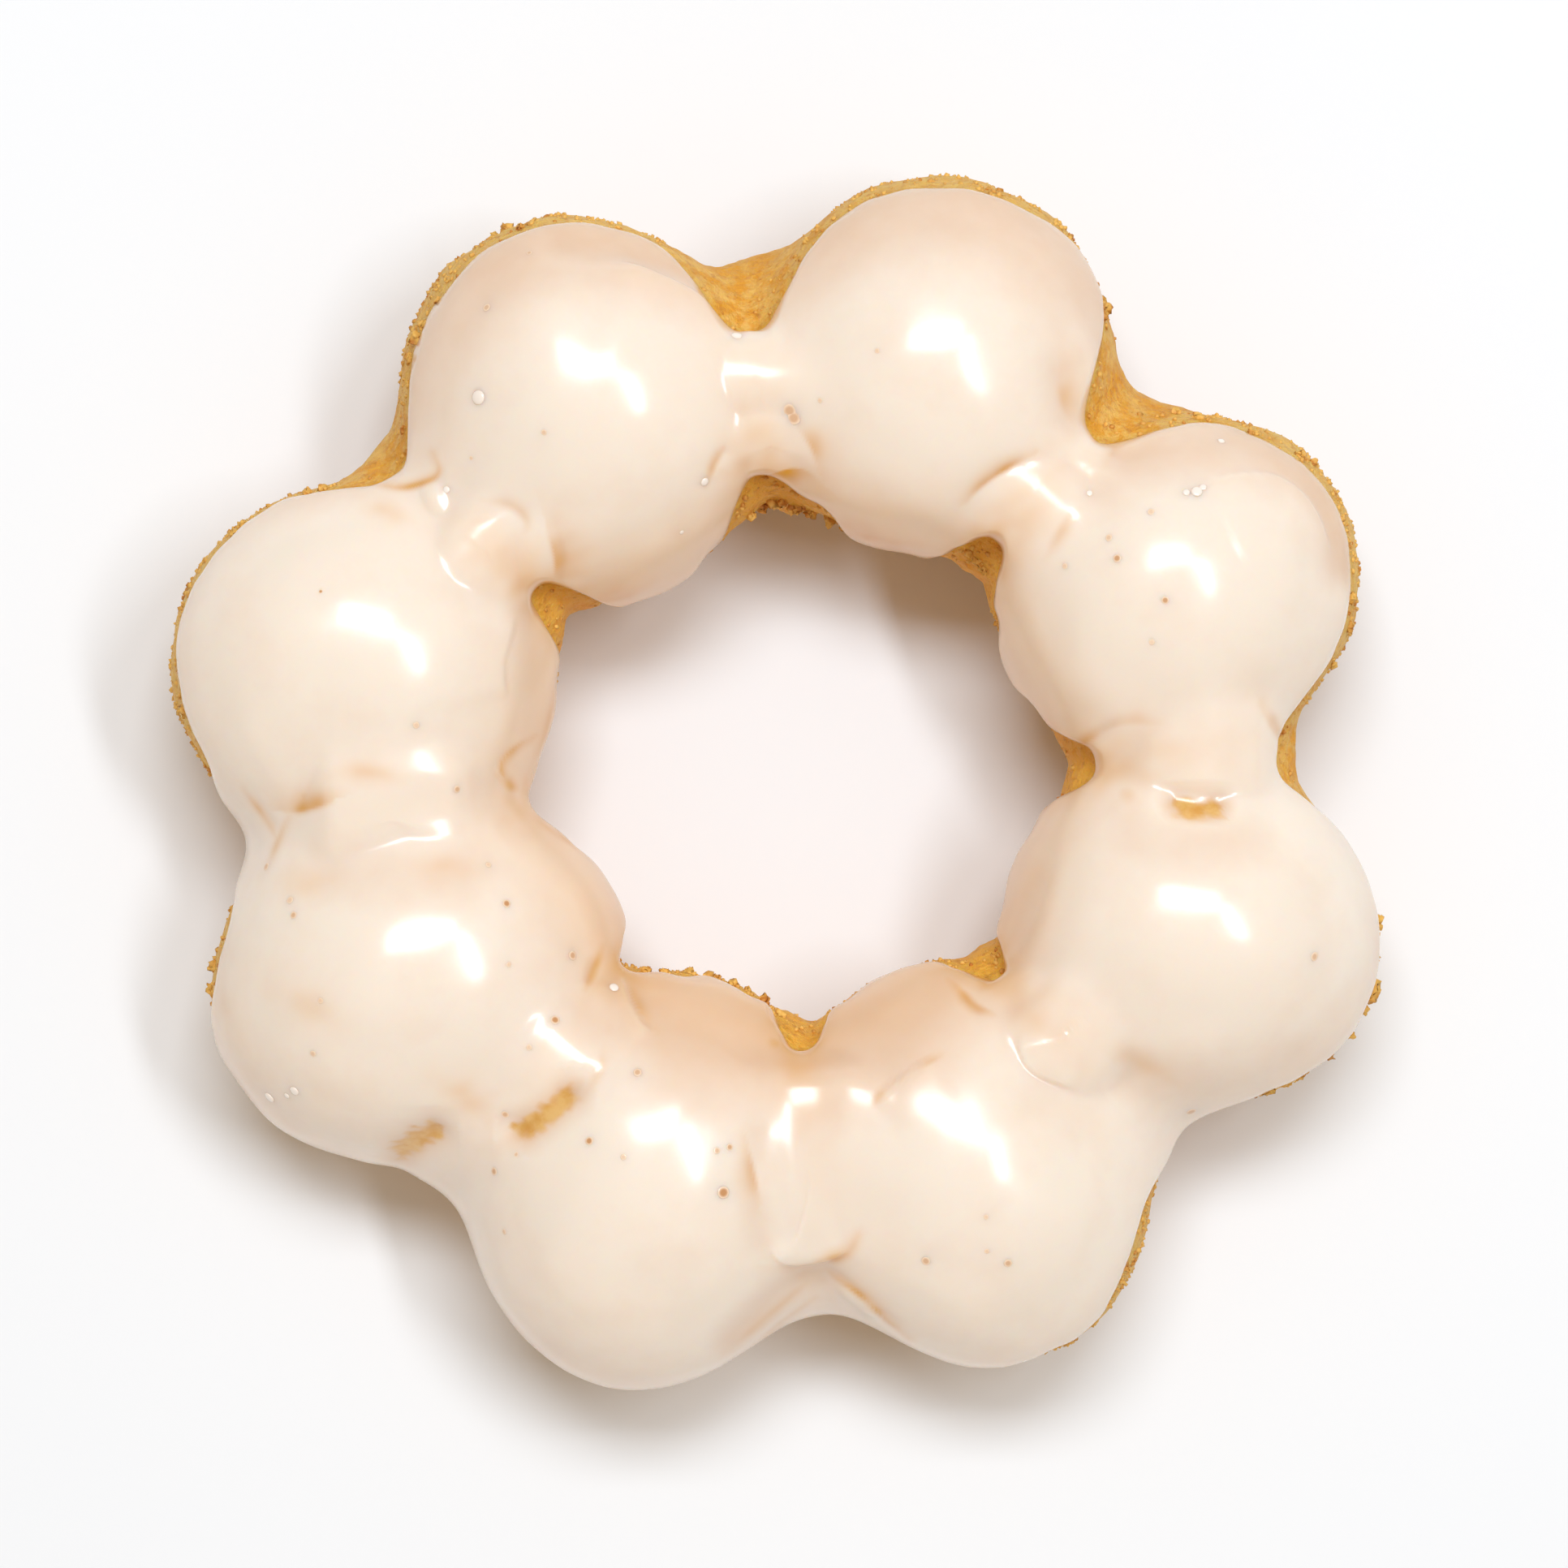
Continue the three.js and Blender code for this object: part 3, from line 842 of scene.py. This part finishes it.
class Grower(Nodes):
    """A geometry tree under construction: a geometry, a material and named sizes come in."""

    def __init__(self, name, sizes):
        super().__init__(bpy.data.node_groups.new(name, "GeometryNodeTree"))
        self.sizes = sizes
        coming_in = {"Carrier": "Geometry", "Finish": "Material", **dict.fromkeys(sizes, "Float")}
        for socket, kind in coming_in.items():
            self.tree.interface.new_socket(socket, in_out="INPUT", socket_type="NodeSocket" + kind)
        self.tree.interface.new_socket("Grown", in_out="OUTPUT", socket_type="NodeSocketGeometry")
        self.given = self.node("NodeGroupInput").outputs

    def stored(self, name, kind="FLOAT"):
        """Numbers kept on the carrier's points."""
        found = self.node("GeometryNodeInputNamedAttribute", {"data_type": kind}, Name=name)
        return found.outputs["Attribute"]

    def piece(self, name, carrier, finish, instances):
        """The instances made into one plain mesh of their own."""
        real = self.node("GeometryNodeRealizeInstances", Geometry=instances)
        done = self.node("GeometryNodeSetMaterial", Geometry=real.outputs["Geometry"])
        self.feed(done.inputs["Material"], self.given["Finish"])
        self.node("NodeGroupOutput", Grown=done.outputs["Geometry"])
        holder = in_scene(name + "_carrier", carrier)
        growth = holder.modifiers.new(name, "NODES")
        growth.node_group = self.tree
        sockets = {item.name: item.identifier for item in self.tree.interface.items_tree}
        growth[sockets["Finish"]] = finish
        for size, value in self.sizes.items():
            growth[sockets[size]] = value
        settled = holder.evaluated_get(bpy.context.evaluated_depsgraph_get())
        mesh = bpy.data.meshes.new_from_object(settled)
        mesh.shade_smooth()
        bpy.data.objects.remove(holder)
        return in_scene(name, mesh)


# Middle in photo pixels, width in pixels and how brown each one is.
freckles = np.array((
    (1377, 687, 10, 0.8), (1367, 665, 8, 0.4), (1417, 632, 8, 0.3), (1435, 743, 9, 0.8),
    (1420, 793, 7, 0.2), (1312, 697, 7, 0.3), (1618, 1177, 11, 0.5), (1468, 1370, 14, 0.6),
    (1143, 1551, 11, 0.6), (1243, 1554, 10, 0.6), (1214, 1544, 6, 0.3), (1214, 1501, 6, 0.3),
    (705, 1177, 11, 0.7), (684, 1257, 11, 0.9), (785, 1318, 10, 0.6), (725, 1408, 10, 0.9),
    (768, 1425, 7, 0.3), (882, 1420, 8, 0.5), (901, 1412, 8, 0.7), (890, 1472, 15, 0.9),
    (622, 1517, 7, 0.4), (607, 1443, 10, 0.7), (637, 1420, 6, 0.4), (621, 1373, 9, 0.6),
    (623, 1112, 10, 0.9), (362, 1128, 9, 0.6), (358, 1107, 9, 0.3), (387, 1297, 8, 0.4),
    (327, 1068, 10, 0.5), (600, 1067, 7, 0.3), (397, 1233, 7, 0.3), (625, 1190, 6, 0.3),
    (653, 1290, 7, 0.3), (396, 728, 5, 0.9), (513, 892, 8, 0.3), (562, 972, 9, 0.6), (599, 381, 10, 0.5),
    (654, 311, 7, 0.6), (667, 533, 7, 0.4), (1081, 430, 6, 0.3), (1009, 492, 6, 0.3), (580, 563, 5, 0.3),
    (974, 505, 17, 0.6), (978, 516, 17, 0.6),
))


def nearest_on(piece, pixels):
    """Points on a piece's upper side nearest to places in the photograph, and which way it faces there."""
    count = len(piece.data.vertices) * 3
    points, normals = np.empty(count), np.empty(count)
    piece.data.vertices.foreach_get("co", points)
    piece.data.vertices.foreach_get("normal", normals)
    points, normals = points.reshape(-1, 3) / MM, normals.reshape(-1, 3)
    facing_up = np.nonzero(normals[:, 2] > 0)[0]
    places = photo_place(points[facing_up])
    rows = [facing_up[np.hypot(*(places - pixel).T).argmin()] for pixel in pixels]
    return points[rows], normals[rows]


def spot_cloud(name, points, marks):
    """A mesh of bare points for things to grow on, with numbers for each of them."""
    cloud = bpy.data.meshes.new(name + "_spots")
    cloud.from_pydata((points * MM).tolist(), [], [])
    store(cloud, marks)
    return cloud


# A photo pixel at the ring's mid-height, in millimetres.
pixel_size = 0.0603
vector_maths = "ShaderNodeVectorMath"


def set_lenses(name, table, flatness, finish):
    """Small lenses half sunk in the glaze, one for each row of middle and width in pixels and a tone."""
    points, facings = nearest_on(glaze_piece, table[:, :2])
    spots = spot_cloud(name, points, {"width": table[:, 2] * pixel_size * MM, "tone": table[:, 3]})
    outward = spots.attributes.new("outward", "FLOAT_VECTOR", "POINT")
    outward.data.foreach_set("vector", facings.astype(np.float32).ravel())
    dots = Grower(name, {"Flatness": flatness})
    lens = dots.node("GeometryNodeMeshUVSphere", Segments=14, Rings=8, Radius=0.5)
    squashed = dots.node("ShaderNodeCombineXYZ", X=1.0, Y=1.0, Z=dots.given["Flatness"])
    flat = dots.node("GeometryNodeTransform", Geometry=lens.outputs["Mesh"], Scale=squashed.outputs["Vector"])
    place = dots.node("GeometryNodeInputPosition").outputs["Position"]
    level = dots.maths("MULTIPLY", place, (1.0, 1.0, 0.0), kind=vector_maths).outputs["Vector"]
    away = dots.maths("LENGTH", level, kind=vector_maths).outputs["Value"]
    shaded = dots.node(
        "GeometryNodeStoreNamedAttribute", {"data_type": "FLOAT", "domain": "POINT"},
        Geometry=flat.outputs["Geometry"], Name="from_middle", Value=away,
    )
    outward_way = dots.stored("outward", "FLOAT_VECTOR")
    facing = dots.node("FunctionNodeAlignRotationToVector", {"axis": "Z"}, Vector=outward_way)
    strewn = dots.node(
        "GeometryNodeInstanceOnPoints", Points=dots.given["Carrier"], Instance=shaded.outputs["Geometry"],
        Rotation=facing.outputs["Rotation"], Scale=dots.stored("width"),
    )
    lenses = dots.piece(name, spots, finish, strewn.outputs["Instances"])
    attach(lenses, "root")


dot_finish, dot, shader = new_finish("browned_pinhole", Roughness=0.19)
tan_dot = colour(196, 136, 80)
dot_rim = colour(250, 224, 196)
rim_to_core = (0.5, 0.2)
softened = dot.between(dot.mark("from_middle"), *rim_to_core) * dot.mark("tone")
dot.feed(shader.inputs["Base Color"], dot.blend(softened, dot_rim, tan_dot))
set_lenses("freckles", freckles, flatness=0.06, finish=dot_finish)

# Bubbles. Air that rose through the glaze and was caught in its skin as it set: small smooth domes that
# sparkle, whiter than the coat towards the crown, partly their own paler skin and partly a painted highlight.

# Middle in photo pixels, width in pixels and how white each one is at the crown, partly a painted highlight.
bubbles = np.array((
    (589, 487, 18, 0.3), (333, 1355, 15, 0.6), (365, 1348, 13, 0.6), (352, 1351, 8, 0.6),
    (868, 596, 11, 0.6), (757, 1217, 12, 0.6), (1343, 608, 8, 0.6), (1472, 605, 14, 0.6),
    (1462, 608, 9, 0.6), (1503, 542, 9, 0.6), (550, 603, 9, 0.6), (909, 413, 15, 0.6), (1480, 601, 9, 0.6),
    (838, 656, 6, 0.6),
))
bubble_finish, skin, shader = new_finish("set_bubble", Roughness=0.12, IOR=1.6)
# A whiter crown: the bubble's paler skin with a painted highlight.
white_skin_and_highlight = colour(250, 242, 234)
rim_to_crown = (0.5, 0.3)
whitened_and_highlighted = skin.between(skin.mark("from_middle"), *rim_to_crown) * skin.mark("tone")
skin.feed(shader.inputs["Base Color"], skin.blend(whitened_and_highlighted, full_glaze, white_skin_and_highlight))
set_lenses("bubbles", bubbles, flatness=0.30, finish=bubble_finish)

# Crumbs. Specks of batter that fried loose on the dough's skin and cling to it below the glaze: rough golden
# grains, thickest along the glaze's rims, outside and in the hole, as far down as they show.

# Where they are: degrees past the glaze's edge, leans in degrees, and patches that wide in millimetres, with
# strays between them and fewer in the necks.
crumbs_start, crumbs_end = (-1.0, 3.0), (40.0, 14.0)
hidden_to_shown = (112, 92)
patch_width, patch_range = 3.0, (-0.3, 1.0)
strays = 0.12
cleared_in_necks = 0.7
near_rim = ramp(*crumbs_start, past_edge) * ramp(*crumbs_end, past_edge)
shows = ramp(*hidden_to_shown, np.abs(dough_lean))
patchy = ramp(*patch_range, uneven(dough_points, patch_width, seed=41))
crumbly = near_rim * shows * (strays + (1 - strays) * patchy) * (1 - cleared_in_necks * in_neck)
crumb_ground = dough_piece.data.copy()
store(crumb_ground, {"crumbly": crumbly})


def rough_grains(grower, fineness):
    """Three rough grains, about one across, to choose from."""
    shapes = grower.node("GeometryNodeJoinGeometry")
    rugged = grower.given["Ruggedness"]
    mean_push = grower.maths("MULTIPLY", rugged, -mean_grain).outputs["Value"]
    for lump_seed in (1.0, 2.0, 3.0):
        grain = grower.node("GeometryNodeMeshIcoSphere", Radius=0.5, Subdivisions=fineness)
        noise = grower.node("ShaderNodeTexNoise", {"noise_dimensions": "4D"}, Scale=2.6, Detail=2.0)
        grower.feed(noise.inputs["W"], lump_seed)
        push = grower.maths("MULTIPLY_ADD", noise.outputs["Color"], rugged, mean_push, kind=vector_maths)
        rough = grower.node("GeometryNodeSetPosition", Geometry=grain.outputs["Mesh"])
        grower.feed(rough.inputs["Offset"], push.outputs["Vector"])
        single = grower.node("GeometryNodeGeometryToInstance", Geometry=rough.outputs["Geometry"])
        grower.feed(shapes.inputs["Geometry"], single.outputs["Instances"])
    return shapes.outputs["Geometry"]


ruggedness = 1.3
full_turn = (6.28, 6.28, 6.28)
grains = Grower("crumbs", {
    "Crumbs per Square Metre": 4.5e6, "Smallest": 0.15 * MM, "Largest": 0.50 * MM, "Ruggedness": ruggedness,
})
crowd = grains.maths("MULTIPLY", grains.stored("crumbly"), grains.given["Crumbs per Square Metre"])
sown = grains.node("GeometryNodeDistributePointsOnFaces", Mesh=grains.given["Carrier"], Seed=5)
grains.feed(sown.inputs["Density"], crowd.outputs["Value"])
turned = grains.node("FunctionNodeRandomValue", {"data_type": "FLOAT_VECTOR"}, Seed=6, Max=full_turn)
sized = grains.node("FunctionNodeRandomValue", {"data_type": "FLOAT"}, Seed=7)
smallest, largest = [socket for socket in sized.inputs if socket.type == "VALUE"][:2]
grains.feed(smallest, grains.given["Smallest"])
grains.feed(largest, grains.given["Largest"])
sprinkled = grains.node(
    "GeometryNodeInstanceOnPoints", Points=sown.outputs["Points"], Instance=rough_grains(grains, fineness=1),
    Pick_Instance=True, Rotation=turned.outputs["Value"],
    Scale=next(out for out in sized.outputs if out.type == "VALUE"),
)

grain_finish, grain, shader = new_finish("fried_crumb", Roughness=0.6)
brown_to_pale = (0.28, 0.55)
grain_tone = grain.between(grain.grain(700.0), *brown_to_pale)
grain.feed(shader.inputs["Base Color"], grain.blend(grain_tone, brown_crust, pale_crust))
crumb_piece = grains.piece("crumbs", crumb_ground, grain_finish, sprinkled.outputs["Instances"])
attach(crumb_piece, "root")

# Clumps. Larger bits of batter that caught on the rims and fried there: ragged golden lumps bedded in the
# crust, outside and in the hole, where the photograph shows them.

# Middle in photo pixels and width in pixels.
clumps = np.array((
    (1344, 352, 16), (1350, 366, 12), (1357, 380, 20), (1361, 394, 12), (1352, 372, 14), (625, 284, 18),
    (612, 292, 12), (640, 282, 10), (1697, 1133, 14), (1700, 1142, 10), (1703, 1220, 22), (1699, 1231, 16),
    (1690, 1245, 12), (1665, 1278, 14), (1640, 1298, 12), (1605, 1320, 12), (1560, 1343, 18),
    (1548, 1346, 14), (875, 1196, 14), (886, 1197, 12), (850, 1192, 12), (800, 1186, 12), (820, 1188, 12),
    (905, 1208, 14), (922, 1220, 10), (940, 1232, 14), (960, 1250, 12), (931, 640, 12), (940, 627, 16),
    (953, 620, 18), (965, 619, 12), (982, 626, 16), (1000, 632, 14), (1025, 640, 18), (1040, 652, 14),
    (1050, 662, 16), (1205, 690, 14), (1212, 702, 12), (1196, 680, 12), (1450, 510, 12), (1475, 512, 14),
    (1500, 518, 12), (1540, 530, 10), (1600, 560, 14), (1620, 575, 12), (1632, 590, 10), (520, 400, 12),
    (512, 420, 16), (505, 440, 12), (540, 370, 12), (400, 600, 12), (380, 608, 12), (290, 655, 12),
    (300, 646, 10), (660, 1668, 14), (675, 1680, 12), (1385, 1560, 12), (1365, 1590, 14), (1350, 1605, 10),
    (1665, 740, 12), (1662, 770, 14), (1640, 820, 12), (228, 870, 14), (236, 885, 12), (256, 1190, 14),
    (258, 1215, 12),
))
points, _ = nearest_on(dough_piece, clumps[:, :2])
bits = spot_cloud("clumps", points, {"width": clumps[:, 2] * pixel_size * MM})
lumps = Grower("clumps", {"Ruggedness": ruggedness})
rolled = lumps.node("FunctionNodeRandomValue", {"data_type": "FLOAT_VECTOR"}, Seed=8, Max=full_turn)
stuck = lumps.node(
    "GeometryNodeInstanceOnPoints", Points=lumps.given["Carrier"], Instance=rough_grains(lumps, fineness=3),
    Pick_Instance=True, Rotation=rolled.outputs["Value"], Scale=lumps.stored("width"),
)
clump_piece = lumps.piece("clumps", bits, grain_finish, stuck.outputs["Instances"])
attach(clump_piece, "root")

# Table, light and camera. A white table in a white room, under a wide window high on the far side and a
# narrow one to the right, with a little light back from a wall on the near side, seen from straight above.

table_mesh = bpy.data.meshes.new("table")
table_half = 1.5
table_corners = [(x * table_half, y * table_half, 0) for x, y in ((-1, -1), (1, -1), (1, 1), (-1, 1))]
table_mesh.from_pydata(table_corners, [], [(0, 1, 2, 3)])
table = in_scene("table", table_mesh)
white_finish, _, _ = new_finish("white_table", Base_Color=(0.87, 0.88, 0.89, 1), Roughness=0.7)
table_mesh.materials.append(white_finish)


def window(name, place, size, power, tint):
    """A lit panel at a place in metres, facing the doughnut, with its power in watts."""
    panel = bpy.data.lights.new(name, "AREA")
    panel.shape = "RECTANGLE"
    panel.size, panel.size_y = size
    panel.energy = power
    panel.color = tint
    lamp = in_scene(name, panel)
    lamp.location = place
    lamp.rotation_mode = "QUATERNION"
    lamp.rotation_quaternion = Vector(place).to_track_quat("Z", "Y")


cool_white = (0.93, 1.0, 1.08)
warm_white = (1.0, 0.88, 0.76)
window("far_window", place=(0.0, 0.43, 1.12), size=(0.60, 0.28), power=8.2, tint=cool_white)
window("side_window", place=(0.43, 0.10, 1.0), size=(0.46, 0.10), power=3.4, tint=cool_white)
window("near_wall", place=(-0.45, -0.95, 0.36), size=(1.6, 0.6), power=1.8, tint=warm_white)
studio = bpy.data.worlds.new("white_studio")
studio.use_nodes = True
room = studio.node_tree.nodes["Background"]
room.inputs["Color"].default_value = (1.0, 0.85, 0.69, 1)
room.inputs["Strength"].default_value = 0.36
bpy.context.scene.world = studio
bpy.context.scene.view_settings.view_transform = "Standard"

camera_data = bpy.data.cameras.new("camera")
sensor_width = 36.0
camera_data.sensor_width = sensor_width
camera_data.lens = sensor_width * pixel_focus / (2 * photo_middle)
camera = in_scene("camera", camera_data)
camera.location = camera_place * MM
bpy.context.scene.camera = camera
